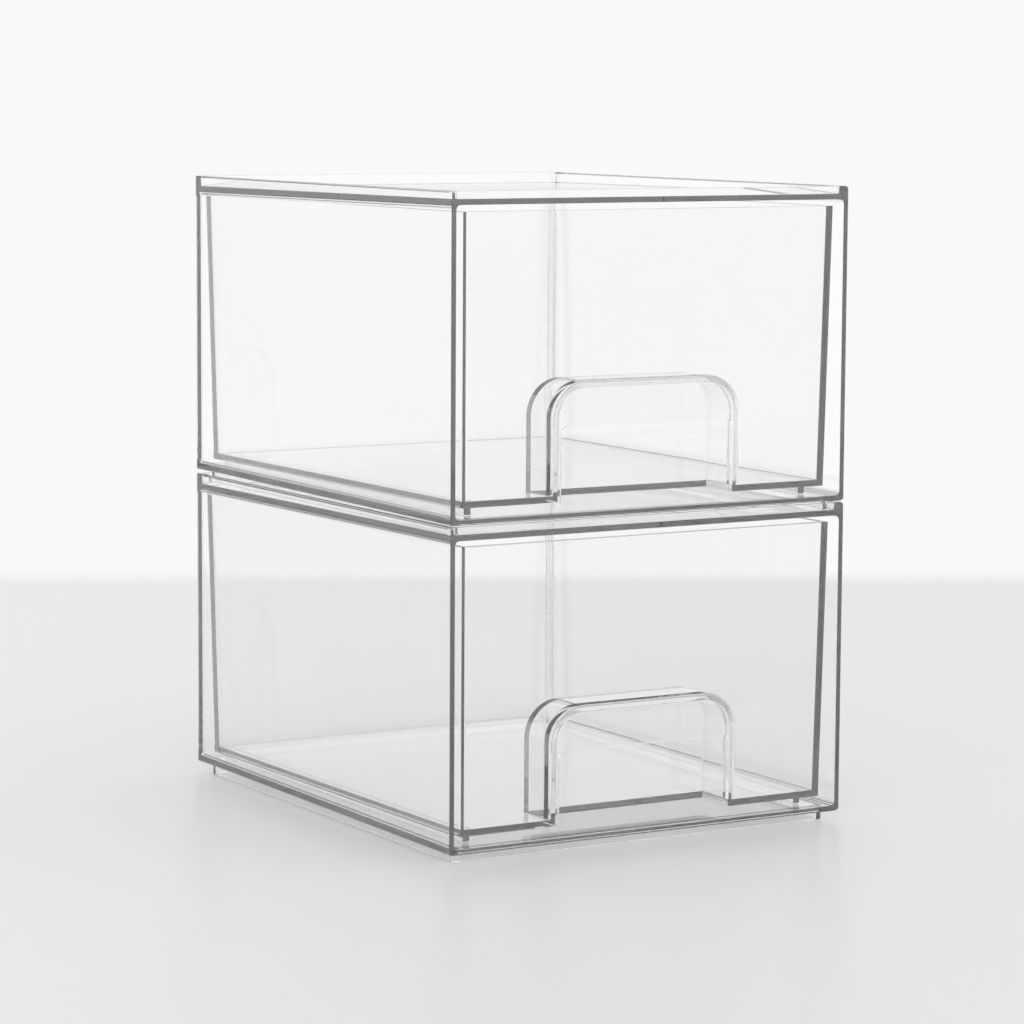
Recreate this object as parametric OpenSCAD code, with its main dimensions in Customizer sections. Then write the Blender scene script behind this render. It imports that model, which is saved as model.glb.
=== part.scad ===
// Two stacked drawer boxes for crafts and small parts.
// Each box is a clear case, open at the front, with one clear drawer in it.
// The origin is on the table, under the middle of the lower case. The drawers
// face -Y and the boxes stack along +Z.

/* [Case] */
// Outer width of a case at its open front
case_w = 157; // [130:1:200]
// Outer depth of a case, front to back
case_d = 189; // [150:1:240]
// Height of one box from its foot to the top of its rim
box_h = 111.8; // [95:0.1:140]
// Thickness of the sides, back and top panel
case_wall = 1.8; // [1.4:0.1:2.2]
// Thickness of the case floor at the front
floor_t = 1.9; // [1.5:0.1:2.2]
// How much each side comes in from front to back
side_draft = 1.1; // [0.2:0.1:1.4]
// How far the top panel falls and the floor rises, front to back
panel_draft = 1.1; // [0.2:0.1:1.4]
// Corner radius of the front opening
opening_r = 1.6; // [0.8:0.1:3]
// Radius of the long outer edges
case_corner_r = 1; // [0.6:0.1:1.4]

/* [Stacking] */
// Height of the rim above the top panel, at the front
rim_h = 2.8; // [2:0.1:4]
// Thickness of the rim at its foot
rim_wall = 2.4; // [1.6:0.1:2.6]
// How much thinner the rim is at its top
rim_draft = 0.2; // [0.1:0.1:0.6]
// Radius of the corners inside the rim
rim_corner_r = 1.8; // [1:0.1:3]
// Height of the foot ring under the case, at the front
foot_h = 3.3; // [2.4:0.1:4.4]
// How far the foot ring stands in from the sides of the case
foot_inset = 3.6; // [3.2:0.1:6]
// Thickness of the foot ring
foot_wall = 1.8; // [1.4:0.1:2.6]
// Corner radius of the foot ring
foot_corner_r = 3; // [2.4:0.1:5]

/* [Drawer] */
// Gap between the drawer and the outside of the case, each side, at the front
drawer_side_gap = 5.2; // [4:0.1:6]
// How far the drawer front sits behind the front of the case
drawer_setback = 1.6; // [0.5:0.1:4]
// Gap over the drawer, at the front
drawer_top_gap = 2.2; // [1.6:0.1:4]
// Gap between the case floor and the drawer, at the front
drawer_lift = 3.2; // [2.6:0.1:4]
// Gap behind the drawer
drawer_back_gap = 0.6; // [0.3:0.1:2]
// Thickness of the drawer walls
drawer_wall = 1.9; // [1.6:0.1:2.4]
// Thickness of the drawer floor
drawer_floor = 2; // [1.6:0.1:2.4]
// How far each side of the drawer leans in, top to bottom
drawer_side_lean = 1.1; // [0.3:0.1:2]
// How far the drawer front leans in, top to bottom
drawer_front_lean = 1.9; // [0.3:0.1:3]
// How far the drawer back leans in, top to bottom
drawer_back_lean = 3.4; // [0.3:0.1:5]
// Radius of the upright corners of the drawer
drawer_corner_r = 1; // [0.8:0.1:5]

/* [Handle] */
// Width of the handle mouth
mouth_w = 68.4; // [60:0.1:69]
// Height of the handle mouth over the underside of the drawer
mouth_h = 25; // [20:0.1:28]
// Corner radius of the mouth
mouth_r = 2; // [1:0.1:4]
// Width of the finger pocket behind the mouth
pocket_w = 70; // [69:0.1:90]
// Depth of the finger pocket, from the drawer front to its inner back face
pocket_depth = 19.2; // [15:0.1:30]
// Height of the arch over the underside of the drawer, at the drawer front
arch_h = 39.3; // [36:0.1:50]
// Radius of the arch, outside, at the drawer front
arch_r = 12; // [6:0.1:16]
// Thickness of the pocket sides and roof at the drawer front
pocket_wall = 1.4; // [1.2:0.1:2.4]
// How much thicker the sides and roof are at the back, on the outside
wall_step = 0.7; // [0.2:0.1:1.2]
// Distance of the step in the pocket walls from the drawer front
step_start = 6.1; // [4:0.1:9]
// Depth over which the pocket walls step out
step_run = 1.8; // [1:0.1:4]
// Thickness of the pocket's back wall
pocket_back_wall = 1.6; // [1.4:0.1:2.4]

/* [Runners] */
// Width of a runner under the drawer
runner_w = 2.6; // [1.8:0.1:5]
// Distance of a runner from the side of the drawer
runner_inset = 4; // [3:0.1:15]
// Distance of a runner's front end from the drawer front
runner_start = 5.6; // [4:0.1:15]

/* [Hidden] */
$fn = 32;
sliver = 0.02;
spare = 1;
// Play between a runner and the case floor
runner_play = 0.15;

// Heights in one box, measured from its foot
panel_top = box_h - rim_h;
ceiling = panel_top - case_wall;
floor_top = foot_h + floor_t;
drawer_base = floor_top + drawer_lift;
drawer_top = ceiling - drawer_top_gap;
drawer_h = drawer_top - drawer_base;
// One box stands on the top panel of the box below
stack_pitch = panel_top;

// Front to back, measured from the middle of the case
front_y = -case_d / 2;
back_y = case_d / 2;
drawer_front_y = front_y + drawer_setback;
drawer_back_y = back_y - case_wall - drawer_back_gap;
drawer_half_w = case_w / 2 - drawer_side_gap;
drawer_inner_r = max(0.8, drawer_corner_r - drawer_wall);
pocket_back = drawer_front_y + pocket_depth;
pocket_half_w = pocket_w / 2 + pocket_wall;

// Share of the case depth that a wall's thickness takes off a taper
inner_share = (case_d - case_wall) / case_d;

clear_case = [0.86, 0.9, 0.92, 0.35];
clear_drawer = [0.8, 0.87, 0.9, 0.35];

// Plan of the case, drawn in from its sides by d, narrower at the back
module case_plan(d, r) {
    front_half = case_w / 2 - d;
    back_half = case_w / 2 - side_draft - d;
    offset(r = r)
        offset(delta = -r)
            polygon([
                [-front_half, front_y + d],
                [front_half, front_y + d],
                [back_half, back_y - d],
                [-back_half, back_y - d]
            ]);
}

// A solid across the whole width with the side outline given as [y, z] points
module across(outline) {
    rotate([90, 0, 90])
        linear_extrude(case_w + 2 * spare, center = true)
            polygon(outline);
}

// Thin upright slab with rounded corners, between heights z0 and z1.
// It lies behind y.
module upright_slab(half_w, z0, z1, y, r) {
    translate([0, y + sliver, 0])
        rotate([90, 0, 0])
            linear_extrude(sliver)
                soft_rectangle(half_w, z0, z1, r);
}

// Rectangle with rounded corners
module soft_rectangle(half_w, z0, z1, r) {
    offset(r = r)
        translate([-half_w + r, z0 + r])
            square([2 * (half_w - r), z1 - z0 - 2 * r]);
}

// Room inside the case, wide at the open front and closing in to the back
module case_room() {
    back_half = case_w / 2 - case_wall - side_draft * inner_share;
    rise = panel_draft * inner_share;
    hull() {
        upright_slab(case_w / 2 - case_wall + sliver, floor_top - sliver,
            ceiling + sliver, front_y - spare, opening_r);
        upright_slab(back_half, floor_top + rise, ceiling - rise,
            back_y - case_wall - sliver, opening_r);
    }
}

// Room over the top panel, inside the rim, a little wider at its top
module rim_room() {
    low = panel_top - panel_draft;
    intersection() {
        hull()
            for (z = [low, box_h + spare])
                translate([0, 0, z])
                    linear_extrude(sliver)
                        case_plan(rim_wall - rim_draft * (z - low) / (box_h - low),
                            rim_corner_r);
        across([
            [front_y, panel_top],
            [back_y, panel_top - panel_draft],
            [back_y, box_h + spare],
            [front_y, box_h + spare]
        ]);
    }
}

// Outside of the case, from the underside of the floor to the rim
module case_outside() {
    hull() {
        upright_slab(case_w / 2, foot_h, box_h, front_y, case_corner_r);
        upright_slab(case_w / 2 - side_draft, foot_h + panel_draft, box_h,
            back_y - sliver, case_corner_r);
    }
}

// Ring that the box stands on, and that sits inside the rim of a box below
module foot_ring() {
    difference() {
        linear_extrude(foot_h + panel_draft + floor_t / 2)
            case_plan(foot_inset, foot_corner_r);
        translate([0, 0, -spare])
            linear_extrude(foot_h + panel_draft + floor_t + 2 * spare)
                case_plan(foot_inset + foot_wall, foot_corner_r - foot_wall / 2);
        across([
            [front_y, foot_h + floor_t / 2],
            [back_y, foot_h + floor_t / 2 + panel_draft],
            [back_y, box_h],
            [front_y, box_h]
        ]);
    }
}

module box_case() {
    difference() {
        case_outside();
        case_room();
        rim_room();
    }
    foot_ring();
}

// Tapered block with rounded upright corners, between two heights.
// d draws it in from the outside of the drawer.
module drawer_block(d, z0, z1, r) {
    hull()
        for (z = [z0, z1])
            translate([0, 0, z - (z == z1 ? sliver : 0)])
                linear_extrude(sliver)
                    drawer_plan(d, (drawer_top - z) / drawer_h, r);
}

// Plan of the drawer; lean is 0 at its top edge and 1 at its underside
module drawer_plan(d, lean, r) {
    half = drawer_half_w - d - drawer_side_lean * lean;
    y0 = drawer_front_y + d + drawer_front_lean * lean;
    y1 = drawer_back_y - d - drawer_back_lean * lean;
    offset(r = r)
        translate([-half + r, y0 + r])
            square([2 * (half - r), y1 - y0 - 2 * r]);
}

// Outline of an arch with rounded shoulders, that runs on below the drawer
module arch_outline(half_w, top, r) {
    offset(r = r, $fn = 64)
        translate([-half_w + r, -spare - r])
            square([2 * (half_w - r), top + spare]);
}

// The arch outline as a block that runs back from y0 to y1
module arch_block(half_w, top, r, y0, y1) {
    translate([0, y1, drawer_base])
        rotate([90, 0, 0])
            linear_extrude(y1 - y0)
                arch_outline(half_w, top, r);
}

// Outline of the pocket's outside as a block; step is 0 in front and wall_step behind
module pocket_block(step, y0, y1) {
    arch_block(pocket_half_w + step, arch_h + step, arch_r + step, y0, y1);
}

// Walls and roof of the finger pocket
module pocket_walls() {
    step_y = drawer_front_y + step_start;
    intersection() {
        union() {
            pocket_block(0, front_y, step_y);
            hull() {
                pocket_block(0, step_y - sliver, step_y);
                pocket_block(wall_step, step_y + step_run, step_y + step_run + sliver);
            }
            pocket_block(wall_step, step_y + step_run, pocket_back + pocket_back_wall);
        }
        drawer_block(drawer_wall / 2, drawer_base, drawer_top, drawer_corner_r);
    }
}

// Hollow of the finger pocket, behind the drawer front and open below
module pocket_hollow() {
    intersection() {
        arch_block(pocket_w / 2, arch_h - pocket_wall, arch_r - pocket_wall,
            front_y, pocket_back);
        drawer_block(drawer_wall, drawer_base - spare, drawer_top, drawer_corner_r);
    }
}

// Way in for the fingers through the drawer front
module mouth() {
    arch_block(mouth_w / 2, mouth_h, mouth_r, front_y - spare,
        drawer_front_y + pocket_depth / 2);
}

// Runners under the drawer that follow the slope of the case floor
module runners() {
    y0 = drawer_front_y + drawer_front_lean + runner_start;
    y1 = drawer_back_y - drawer_back_lean - drawer_corner_r;
    slope = panel_draft / case_d;
    z0 = floor_top + runner_play + slope * (y0 - front_y);
    z1 = floor_top + runner_play + slope * (y1 - front_y);
    x = drawer_half_w - drawer_side_lean - runner_inset - runner_w / 2;
    for (side = [-1, 1])
        translate([side * x, 0, 0])
            rotate([90, 0, 90])
                linear_extrude(runner_w, center = true)
                    polygon([
                        [y0, z0],
                        [y1, z1],
                        [y1, drawer_base + drawer_floor / 2],
                        [y0, drawer_base + drawer_floor / 2]
                    ]);
}

module box_drawer() {
    difference() {
        union() {
            difference() {
                drawer_block(0, drawer_base, drawer_top, drawer_corner_r);
                drawer_block(drawer_wall, drawer_base + drawer_floor,
                    drawer_top + spare, drawer_inner_r);
            }
            pocket_walls();
        }
        pocket_hollow();
        mouth();
    }
    runners();
}

module lower_case() {
    color(clear_case) box_case();
}

module lower_drawer() {
    color(clear_drawer) box_drawer();
}

module upper_case() {
    color(clear_case) translate([0, 0, stack_pitch]) box_case();
}

module upper_drawer() {
    color(clear_drawer) translate([0, 0, stack_pitch]) box_drawer();
}

lower_case();
lower_drawer();
upper_case();
upper_drawer();
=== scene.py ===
# Two stacked drawer boxes of clear plastic, each with its drawer, on a pale table.
import math

import bmesh
import bpy
from mathutils import Matrix, Vector


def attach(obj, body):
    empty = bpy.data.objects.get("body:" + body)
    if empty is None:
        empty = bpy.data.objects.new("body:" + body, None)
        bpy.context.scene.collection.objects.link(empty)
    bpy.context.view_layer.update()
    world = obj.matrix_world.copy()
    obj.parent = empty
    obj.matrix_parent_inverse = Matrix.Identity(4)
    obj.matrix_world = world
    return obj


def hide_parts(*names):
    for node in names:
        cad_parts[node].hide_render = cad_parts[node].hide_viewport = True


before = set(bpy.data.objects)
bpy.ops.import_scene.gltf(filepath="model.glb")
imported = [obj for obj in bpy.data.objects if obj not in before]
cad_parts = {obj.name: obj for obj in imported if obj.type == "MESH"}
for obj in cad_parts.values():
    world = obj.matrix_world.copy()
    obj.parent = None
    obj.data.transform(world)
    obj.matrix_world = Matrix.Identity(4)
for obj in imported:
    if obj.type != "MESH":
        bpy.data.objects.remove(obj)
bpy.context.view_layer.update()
print("frame loaded:", ", ".join(sorted(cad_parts)))

# Sizes are in millimetres until a piece is finished. y runs from the open front
# (minus) to the back, and z upwards from the foot of a box.

caseSizes = {
    "width": 157,
    "depth": 189,
    "height": 111.8,
    "wall": 1.8,
    "floor": 1.9,
    "sideDraft": 1.1,  # each side comes in this much towards the back
    "panelDraft": 1.1,  # the top panel falls and the floor rises this much towards the back
    "openingRadius": 1.6,
    "longEdgeRadius": 1.0,
    "backEdgeRadius": 0.8,
    "roomCornerRadius": 2.6,  # upright corners at the back of the room
    "rimHeight": 2.8,
    "rimWall": 2.4,
    "rimDraft": 0.2,  # the rim is this much thinner at its top
    "rimRadius": 1.8,
    "footHeight": 3.3,
    "footInset": 3.6,
    "footWall": 1.8,
    "footRadius": 3.0,
    "softEdge": 0.25,  # the small radius that a mould leaves on every edge
    "sliver": 0.13,  # corners closer than this become one
}

drawerSizes = {
    "sideGap": 5.2,
    "setback": 1.6,
    "topGap": 2.2,
    "lift": 3.2,
    "backGap": 0.6,
    "wall": 1.9,
    "floor": 2.0,
    "sideLean": 1.1,
    "frontLean": 1.9,
    "backLean": 3.4,
    "cornerRadius": 0.4,
    "innerRadius": 0.6,
    "innerBackRadius": 2.0,
    "softEdge": 0.25,
}

pullSizes = {
    "mouthWidth": 68.4,
    "mouthHeight": 25.0,
    "mouthRadius": 2.0,
    "mouthDepth": 5.0,
    "flare": 1.0,  # radius where the pocket's outside runs into the drawer front
    # Each row of the outside and the hollow holds depth, half width, height and radius of the arch
    "outside": [(0, 36.4, 39.3, 12.0), (6.1, 36.4, 39.3, 12.0), (7.9, 37.1, 40.0, 12.7), (20.8, 37.1, 40.0, 12.7)],
    "hollow": [(0, 35.0, 37.9, 10.6), (19.2, 35.0, 37.9, 10.6)],
}

runnerSizes = {
    "width": 2.6,
    "inset": 4.0,
    "start": 5.6,
    "end": 1.0,
    "play": 0.15,
}

plasticLook = {
    "tint": (0.997, 0.999, 0.999),
    "roughness": 0.012,
    "ior": 1.49,
    "absorption": 8.5,  # per metre: it greys the light that runs along inside a wall
    "absorptionTint": (0.02, 0.0, 0.01),
    "shadowTint": (0.99, 0.992, 0.992),
}

tableLook = {
    "colour": (0.79, 0.79, 0.79),
    "roughness": 0.32,
    "edgeDistance": 0.5809,  # from the middle of the boxes to the table's far edge
    "edgeTurn": -28.6,
    "edgeSoftness": 0.03,
    "reach": 4.0,
}

cameraSizes = {
    "place": (-0.673695, -1.123268, 0.257600),
    "right": (0.85741892, -0.51458812, 0.00564441),
    "up": (0.05558907, 0.10351664, 0.99307309),
    "lens": 129.79,
}


# Shader helpers


class Wire:
    # A socket that takes part in arithmetic: each step adds a Math node.
    def __init__(self, sheet, socket):
        self.sheet = sheet
        self.socket = socket

    def maths(self, operation, first, second=None, clamp=False):
        values = {0: first} if second is None else {0: first, 1: second}
        return self.sheet.node(
            "ShaderNodeMath", {"operation": operation, "use_clamp": clamp}, values
        )

    def __add__(self, other):
        return self.maths("ADD", self, other)

    __radd__ = __add__

    def __sub__(self, other):
        return self.maths("SUBTRACT", self, other)

    def __rsub__(self, other):
        return self.maths("SUBTRACT", other, self)

    def __mul__(self, other):
        return self.maths("MULTIPLY", self, other)

    __rmul__ = __mul__

    def __truediv__(self, other):
        return self.maths("DIVIDE", self, other)

    def atMost(self, other):
        return self.maths("MINIMUM", self, other)

    def atLeast(self, other):
        return self.maths("MAXIMUM", self, other)

    def ramp(self, low, high):
        # 0 below low and 1 above high, with soft ends
        return self.sheet.node(
            "ShaderNodeMapRange",
            {"interpolation_type": "SMOOTHSTEP"},
            {"Value": self, "From Min": low, "From Max": high},
        )


class Sheet:
    # The nodes of one material or of the world
    def __init__(self, owner):
        owner.use_nodes = True
        self.tree = owner.node_tree
        self.tree.nodes.clear()

    def node(self, kind, settings=None, values=None, output=0):
        made = self.tree.nodes.new(kind)
        for name, value in (settings or {}).items():
            setattr(made, name, value)
        for name, value in (values or {}).items():
            socket = made.inputs[name]
            if isinstance(value, Wire):
                self.tree.links.new(value.socket, socket)
            elif hasattr(socket.default_value, "__len__"):
                full = tuple(value) + (1.0,) * (len(socket.default_value) - len(value))
                socket.default_value = full
            else:
                socket.default_value = value
        return Wire(self, made.outputs[output]) if made.outputs else made

    def noise(self, where, scale, detail=3.0, roughness=0.5):
        return self.node(
            "ShaderNodeTexNoise",
            {},
            {"Vector": where, "Scale": scale, "Detail": detail, "Roughness": roughness},
        )

    def blend(self, amount, low, high):
        return self.node(
            "ShaderNodeMix",
            {"data_type": "RGBA"},
            {0: amount, 6: low, 7: high},
            output=2,
        )


# Shape helpers


def quad(bm, spots):
    return bm.faces.new([bm.verts.new(spot) for spot in spots])


def blockOf(place):
    # A six-sided block whose corners go where place says, from the signs of their x, y and z.
    bm = bmesh.new()
    bmesh.ops.create_cube(bm, size=2)
    for vert in bm.verts:
        vert.co = place(*(1 if part > 0 else -1 for part in vert.co))
    return bm


def facing(bm, way):
    bm.normal_update()
    way = Vector(way).normalized()
    return max(bm.faces, key=lambda face: (round(face.normal.dot(way), 2), face.calc_area()))


def shiftFace(face, place):
    # Moves a four-cornered face's corners to where place says
    middle = face.calc_center_median()
    spots = [place(*(1 if part > 0 else -1 for part in vert.co - middle)) for vert in face.verts]
    for vert, spot in zip(face.verts, spots):
        vert.co = spot


def insetTo(bm, face, place):
    bmesh.ops.inset_individual(bm, faces=[face], thickness=0.5)
    shiftFace(face, place)
    return face


def pushTo(bm, face, place):
    cap = bmesh.ops.extrude_discrete_faces(bm, faces=[face])["faces"][0]
    shiftFace(cap, place)
    return cap


def roundEdges(bm, test, radius, segments):
    chosen = []
    for edge in bm.edges:
        first, second = (vert.co for vert in edge.verts)
        if edge.is_manifold and edge.calc_face_angle(0) > 0.5:
            if test((first + second) / 2, (second - first).normalized()):
                chosen.append(edge)
    if not chosen:
        raise ValueError("no edge to round")
    bmesh.ops.bevel(
        bm,
        geom=chosen,
        offset=radius,
        offset_type="OFFSET",
        segments=segments,
        profile=0.5,
        affect="EDGES",
        material=-1,
        clamp_overlap=False,
    )
    return len(chosen)


def objectOf(bm, name):
    mesh = bpy.data.meshes.new(name)
    bm.to_mesh(mesh)
    bm.free()
    piece = bpy.data.objects.new(name, mesh)
    bpy.context.scene.collection.objects.link(piece)
    return piece


def joined(base, tool, operation):
    # base with tool added or cut away, as a new bmesh
    first, second = objectOf(base, "base"), objectOf(tool, "tool")
    step = first.modifiers.new("join", "BOOLEAN")
    step.operation, step.solver, step.object = operation, "EXACT", second
    depsgraph = bpy.context.evaluated_depsgraph_get()
    result = bmesh.new()
    result.from_mesh(first.evaluated_get(depsgraph).to_mesh())
    for spent in (first, second):
        bpy.data.meshes.remove(spent.data)
    bmesh.ops.remove_doubles(result, verts=result.verts, dist=0.0005)
    bmesh.ops.dissolve_limit(
        result, angle_limit=0.002, verts=result.verts, edges=result.edges, use_dissolve_boundaries=False
    )
    return result


def finished(bm, name, lift, softEdge, material):
    # Softens every hard edge, lifts the piece to its box and turns millimetres to metres
    roundEdges(bm, lambda middle, way: True, softEdge, 3)
    bmesh.ops.remove_doubles(bm, verts=bm.verts, dist=0.0005)
    bmesh.ops.translate(bm, verts=bm.verts, vec=(0, 0, lift))
    bmesh.ops.scale(bm, verts=bm.verts, vec=(0.001, 0.001, 0.001))
    bmesh.ops.recalc_face_normals(bm, faces=bm.faces)
    if bm.calc_volume(signed=True) < 0:
        bmesh.ops.reverse_faces(bm, faces=bm.faces)
    for face in bm.faces:
        face.smooth = True
    print(name, len(bm.faces), "faces,", sum(not e.is_manifold for e in bm.edges), "open edges")
    piece = objectOf(bm, name)
    piece.data.materials.append(material)
    flat = piece.modifiers.new("keep flat faces flat", "WEIGHTED_NORMAL")
    flat.mode, flat.weight = "FACE_AREA", 100
    return piece


# One box, measured from its foot


def along(y):
    return y / caseSizes["depth"] + 0.5


def caseHalfWidth(y):
    return caseSizes["width"] / 2 - caseSizes["sideDraft"] * along(y)


def undersideAt(y):
    return caseSizes["footHeight"] + caseSizes["panelDraft"] * along(y)


def floorAt(y):
    return undersideAt(y) + caseSizes["floor"]


def panelAt(y):
    return caseSizes["height"] - caseSizes["rimHeight"] - caseSizes["panelDraft"] * along(y)


def ceilingAt(y):
    return panelAt(y) - caseSizes["wall"]


caseFront = -caseSizes["depth"] / 2
caseBack = caseSizes["depth"] / 2
stackPitch = panelAt(caseFront)
drawerTop = ceilingAt(caseFront) - drawerSizes["topGap"]
drawerBase = floorAt(caseFront) + drawerSizes["lift"]


def caseShell():
    s = caseSizes

    def outer(x, y, z):
        y = y * caseBack
        return x * caseHalfWidth(y), y, s["height"] if z > 0 else undersideAt(y)

    def mouth(x, y, z):
        side = caseHalfWidth(caseFront) - s["wall"]
        return x * side, caseFront, ceilingAt(caseFront) if z > 0 else floorAt(caseFront)

    def roomEnd(x, y, z):
        end = caseBack - s["wall"]
        return x * (caseHalfWidth(end) - s["wall"]), end, ceilingAt(end) if z > 0 else floorAt(end)

    def ring(inset, height):
        def place(x, y, z):
            y = y * (caseBack - inset)
            return x * (caseHalfWidth(y) - inset), y, height(y)

        return place

    bm = blockOf(outer)
    pushTo(bm, insetTo(bm, facing(bm, (0, -1, 0)), mouth), roomEnd)
    rim = insetTo(bm, facing(bm, (0, 0, 1)), ring(s["rimWall"] - s["rimDraft"], lambda y: s["height"]))
    pushTo(bm, rim, ring(s["rimWall"], panelAt))
    foot = insetTo(bm, facing(bm, (0, 0, -1)), ring(s["footInset"], undersideAt))
    foot = pushTo(bm, foot, ring(s["footInset"], lambda y: 0))
    foot = insetTo(bm, foot, ring(s["footInset"] + s["footWall"], lambda y: 0))
    pushTo(bm, foot, ring(s["footInset"] + s["footWall"], undersideAt))

    def inCase(middle, inset):
        return caseHalfWidth(middle.y) - abs(middle.x) > inset

    def upright(way):
        return abs(way.z) > 0.9

    roundEdges(
        bm,
        lambda m, w: abs(w.y) > 0.9 and inCase(m, 1) and 4.5 < m.z < ceilingAt(m.y) + 0.5,
        s["openingRadius"],
        6,
    )
    roundEdges(
        bm,
        lambda m, w: upright(w) and inCase(m, 1) and panelAt(m.y) < m.z,
        s["rimRadius"],
        6,
    )
    roundEdges(
        bm,
        lambda m, w: upright(w) and inCase(m, 1) and not inCase(m, 4.5) and m.z < 3,
        s["footRadius"],
        8,
    )
    roundEdges(
        bm,
        lambda m, w: upright(w) and inCase(m, 4.5) and m.z < 3,
        s["footRadius"] - s["footWall"] / 2,
        8,
    )
    roundEdges(
        bm,
        lambda m, w: upright(w) and not inCase(m, 1.5) and m.y > caseBack - 1 and m.z > 6,
        s["backEdgeRadius"],
        4,
    )
    roundEdges(
        bm,
        lambda m, w: abs(w.y) > 0.9 and not inCase(m, 1),
        s["longEdgeRadius"],
        5,
    )
    roundEdges(
        bm,
        lambda m, w: upright(w) and inCase(m, 1) and m.y > caseBack - s["wall"] - 0.1 and 6 < m.z < ceilingAt(m.y),
        s["roomCornerRadius"],
        5,
    )
    # Slivers where three roundings meet close up
    bmesh.ops.remove_doubles(bm, verts=bm.verts, dist=s["sliver"])
    return bm


# One drawer


def drawerOutline(x, y, z, inset=0.0):
    # A point on the drawer's outside at height z, or inset from it
    d = drawerSizes
    lean = (drawerTop - z) / (drawerTop - drawerBase)
    side = caseSizes["width"] / 2 - d["sideGap"] - d["sideLean"] * lean - inset
    front = caseFront + d["setback"] + d["frontLean"] * lean + inset
    back = caseBack - caseSizes["wall"] - d["backGap"] - d["backLean"] * lean - inset
    return x * side, back if y > 0 else front, z


def drawerTray():
    d = drawerSizes
    bm = blockOf(lambda x, y, z: drawerOutline(x, y, drawerTop if z > 0 else drawerBase))
    top = insetTo(bm, facing(bm, (0, 0, 1)), lambda x, y, z: drawerOutline(x, y, drawerTop, d["wall"]))
    pushTo(bm, top, lambda x, y, z: drawerOutline(x, y, drawerBase + d["floor"], d["wall"]))

    def inside(middle):
        return abs(drawerOutline(1, 1, middle.z)[0]) - abs(middle.x) > 1

    roundEdges(bm, lambda m, w: abs(w.z) > 0.9 and not inside(m), d["cornerRadius"], 5)
    roundEdges(bm, lambda m, w: abs(w.z) > 0.9 and inside(m) and m.y < 0, d["innerRadius"], 6)
    roundEdges(bm, lambda m, w: abs(w.z) > 0.9 and inside(m) and m.y > 0, d["innerBackRadius"], 6)
    return bm


def archLoft(bottom, frontInset, rows):
    # A block through a row of arch outlines; the first follows the lean of the drawer front.
    # Narrow strips on each side of a bend keep the faces between them flat.
    near = 0.03
    places = [rows[0]]
    for before, row, after in zip(rows, rows[1:], rows[2:]):
        for other in (before, after):
            share = near / abs(other[0] - row[0])
            places.append([here + (there - here) * share for here, there in zip(row, other)])
    places.append(rows[-1])
    bm = bmesh.new()
    turns = [math.radians(90 * step / 16) for step in range(17)]
    rings = []
    for depth, halfWidth, height, radius in places:
        top = drawerBase + height
        right = [(halfWidth, bottom)]
        for turn in turns:
            across = halfWidth - radius + radius * math.cos(turn)
            right.append((across, top - radius + radius * math.sin(turn)))
        ring = []
        for x, z in right + [(-x, z) for x, z in reversed(right)]:
            y = caseFront + drawerSizes["setback"] + depth
            if depth == 0:
                y = drawerOutline(1, -1, z, frontInset)[1]
            ring.append(bm.verts.new((x, y, z)))
        rings.append(ring)
    for front, back in zip(rings, rings[1:]):
        for k in range(len(front)):
            bm.faces.new((front[k - 1], front[k], back[k], back[k - 1]))
    bm.faces.new(rings[0])
    bm.faces.new(rings[-1])
    bmesh.ops.recalc_face_normals(bm, faces=bm.faces)
    return bm


def mouthBlock():
    # The way in for the fingers, through the drawer front
    p = pullSizes
    size = (p["mouthWidth"] / 2, p["mouthHeight"], p["mouthRadius"])
    return archLoft(drawerBase - 5, -5, [(0, *size), (p["mouthDepth"], *size)])


def runner(side):
    r = runnerSizes
    d = drawerSizes
    outer = drawerOutline(1, 1, drawerBase)[0] - r["inset"]
    middle = side * (outer - r["width"] / 2)
    start = drawerOutline(1, -1, drawerBase)[1] + r["start"]
    end = drawerOutline(1, 1, drawerBase)[1] - r["end"]

    def place(x, y, z):
        y = end if y > 0 else start
        return middle + x * r["width"] / 2, y, drawerBase + 1 if z > 0 else floorAt(y) + r["play"]

    return blockOf(place)


def drawerBody():
    p = pullSizes
    side = p["outside"][0][1]
    walls = archLoft(drawerBase + 0.5, drawerSizes["wall"] / 2, p["outside"])
    bm = joined(drawerTray(), walls, "UNION")

    def atFront(middle, way):
        front = drawerOutline(1, -1, middle.z, drawerSizes["wall"])[1]
        floor = drawerBase + drawerSizes["floor"] + 0.2
        return abs(middle.y - front) < 0.05 and abs(middle.x) < side + 0.1 and middle.z > floor

    roundEdges(bm, atFront, p["flare"], 5)
    hollow = archLoft(drawerBase - 5, drawerSizes["wall"], p["hollow"])
    for room in (hollow, mouthBlock()):
        bm = joined(bm, room, "DIFFERENCE")
    for end in (-1, 1):
        bm = joined(bm, runner(end), "UNION")
    return bm


# Materials


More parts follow.
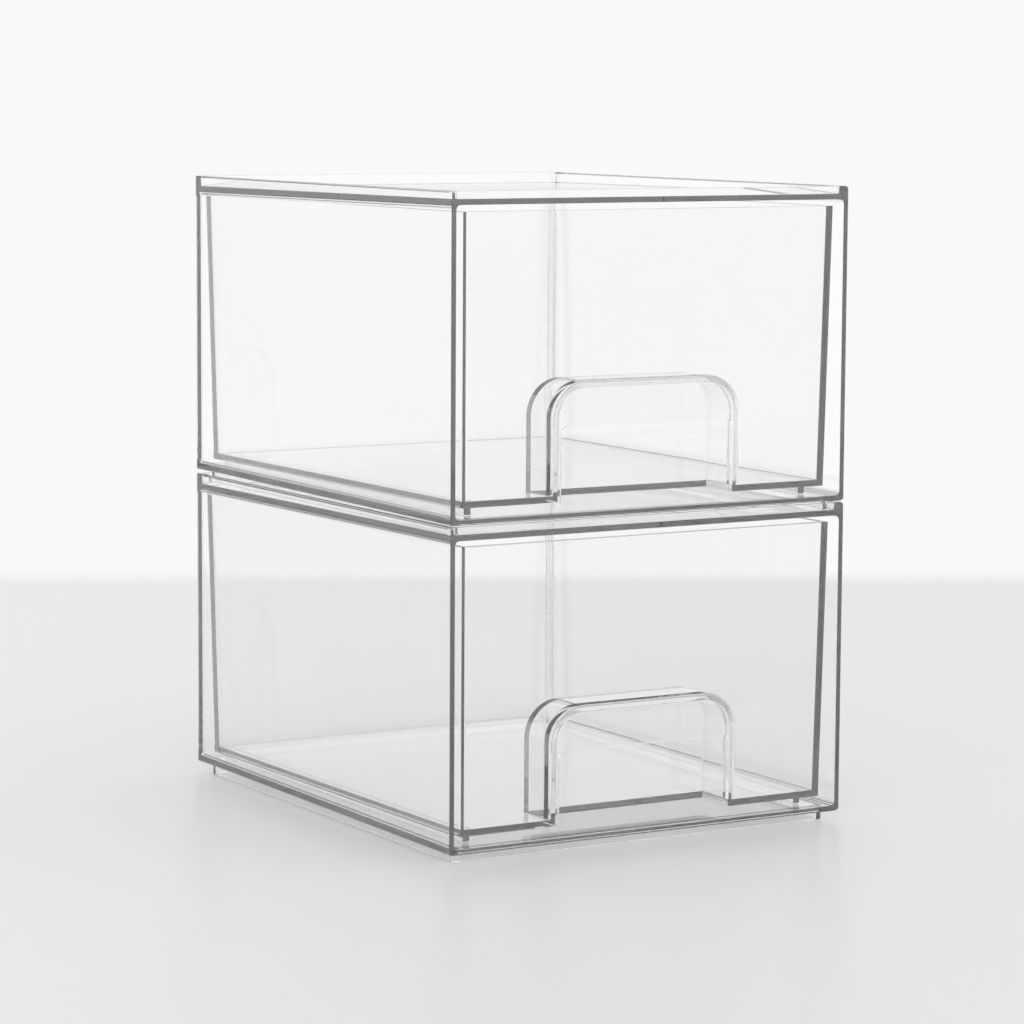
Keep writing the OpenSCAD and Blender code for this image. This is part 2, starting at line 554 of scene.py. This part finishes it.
def clearPlastic(name, seed):
    look = plasticLook
    material = bpy.data.materials.new(name)
    sheet = Sheet(material)
    where = sheet.node("ShaderNodeTexCoord", output=3)
    shifted = sheet.node("ShaderNodeMapping", {}, {"Vector": where, "Location": (seed, seed * 2, -seed)})
    flow = sheet.noise(shifted, 9.0, 2.0)
    handling = sheet.noise(shifted, 55.0, 4.0, 0.6).ramp(0.52, 0.74)
    bump = sheet.node(
        "ShaderNodeBump",
        {},
        {"Strength": 0.02, "Distance": 0.001, "Height": flow},
    )
    plastic = sheet.node(
        "ShaderNodeBsdfPrincipled",
        {},
        {
            "Base Color": sheet.blend(flow, look["tint"], (1.0, 1.0, 1.0)),
            "Roughness": look["roughness"] + 0.03 * handling,
            "IOR": look["ior"],
            "Transmission Weight": 1.0,
            "Normal": bump,
        },
    )
    shade = sheet.node("ShaderNodeBsdfTransparent", {}, {"Color": look["shadowTint"]})
    shadowRay = sheet.node("ShaderNodeLightPath", output="Is Shadow Ray")
    surface = sheet.node("ShaderNodeMixShader", {}, {0: shadowRay, 1: plastic, 2: shade})
    inside = sheet.node(
        "ShaderNodeVolumeAbsorption",
        {},
        {"Color": look["absorptionTint"], "Density": look["absorption"]},
    )
    sheet.node("ShaderNodeOutputMaterial", {}, {"Surface": surface, "Volume": inside})
    return material


def paleTable():
    look = tableLook
    material = bpy.data.materials.new("pale table")
    sheet = Sheet(material)
    where = sheet.node("ShaderNodeTexCoord", output=3)
    turned = sheet.node(
        "ShaderNodeMapping", {"vector_type": "TEXTURE"}, {"Vector": where, "Rotation": (0, 0, look["edgeTurn"] * 0.0174533)}
    )
    across = sheet.node("ShaderNodeSeparateXYZ", {}, {"Vector": turned}, output=1)
    grain = sheet.noise(where, 160.0, 4.0)
    top = sheet.node(
        "ShaderNodeBsdfPrincipled",
        {},
        {
            "Base Color": sheet.blend(grain, look["colour"], tuple(c * 0.985 for c in look["colour"])),
            "Roughness": look["roughness"],
            "Specular IOR Level": 0.35,
        },
    )
    clear = sheet.node("ShaderNodeBsdfTransparent")
    soft = look["edgeSoftness"]
    beyond = across.ramp(look["edgeDistance"] - soft, look["edgeDistance"] + soft)
    surface = sheet.node("ShaderNodeMixShader", {}, {0: beyond, 1: top, 2: clear})
    sheet.node("ShaderNodeOutputMaterial", {}, {"Surface": surface})
    return material


print("building the cases and drawers")
casePlastic = clearPlastic("clear case plastic", 0.0)
drawerPlastic = clearPlastic("clear drawer plastic", 3.7)
for box, lift in (("lower", 0), ("upper", stackPitch)):
    case = finished(caseShell(), box + "CaseShell", lift, caseSizes["softEdge"], casePlastic)
    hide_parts(box + "_case")
    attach(case, box + "_box")
    drawer = finished(drawerBody(), box + "DrawerTray", lift, drawerSizes["softEdge"], drawerPlastic)
    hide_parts(box + "_drawer")
    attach(drawer, box + "_tray")

print("laying the table")
bm = bmesh.new()
bmesh.ops.create_grid(bm, x_segments=1, y_segments=1, size=tableLook["reach"])
bmesh.ops.rotate(bm, verts=bm.verts, matrix=Matrix.Rotation(tableLook["edgeTurn"] * 0.0174533, 3, "Z"))
table = objectOf(bm, "table")
table.data.materials.append(paleTable())

print("lighting")
world = bpy.data.worlds.new("studio")
bpy.context.scene.world = world
world.cycles.sampling_method = "NONE"  # daylight then reaches the table through the plastic as well
sheet = Sheet(world)
seen = sheet.node("ShaderNodeLightPath", output="Is Camera Ray")
glossy = sheet.node("ShaderNodeLightPath", output="Is Glossy Ray")
passed = sheet.node("ShaderNodeLightPath", output="Is Transmission Ray")
backdrop = sheet.node("ShaderNodeBackground", {}, {"Color": (0.945, 0.95, 0.95), "Strength": 1.0})
around = sheet.node("ShaderNodeBackground", {}, {"Color": (1.0, 1.0, 1.0), "Strength": 1.0})
ambient = sheet.node("ShaderNodeBackground", {}, {"Color": (1.0, 1.0, 1.0), "Strength": 0.75})
inPlastic = (glossy + passed).atMost(1.0)  # light that the plastic bends or mirrors
unseen = sheet.node("ShaderNodeMixShader", {}, {0: inPlastic, 1: ambient, 2: around})
sheet.node(
    "ShaderNodeOutputWorld",
    {},
    {"Surface": sheet.node("ShaderNodeMixShader", {}, {0: seen, 1: unseen, 2: backdrop})},
)


def softbox(name, place, size, power):
    light = bpy.data.lights.new(name, "AREA")
    light.shape = "RECTANGLE"
    light.size, light.size_y = size
    light.energy = power
    lamp = bpy.data.objects.new(name, light)
    lamp.location = place
    lamp.rotation_mode = "QUATERNION"
    lamp.rotation_quaternion = (Vector((0, 0, 0.1)) - Vector(place)).to_track_quat("-Z", "Y")
    bpy.context.scene.collection.objects.link(lamp)


softbox("overhead", (-0.5, 0.1, 1.8), (1.8, 1.8), 9)
softbox("left", (-1.7, 0.9, 1.0), (1.0, 1.2), 6)

print("camera")
camera = bpy.data.objects.new("camera", bpy.data.cameras.new("camera"))
right, up = Vector(cameraSizes["right"]), Vector(cameraSizes["up"])
turn = Matrix((right, up, right.cross(up))).transposed()
camera.matrix_world = Matrix.Translation(cameraSizes["place"]) @ turn.to_4x4()
camera.data.lens = cameraSizes["lens"]
camera.data.sensor_width = 36
camera.data.clip_end = 50
bpy.context.scene.collection.objects.link(camera)
bpy.context.scene.camera = camera

scene = bpy.context.scene
scene.view_settings.view_transform = "Standard"
scene.cycles.max_bounces = 128
scene.cycles.glossy_bounces = 128
scene.cycles.transmission_bounces = 128
scene.cycles.transparent_max_bounces = 64
scene.cycles.diffuse_bounces = 4
scene.cycles.caustics_reflective = False
scene.cycles.caustics_refractive = True
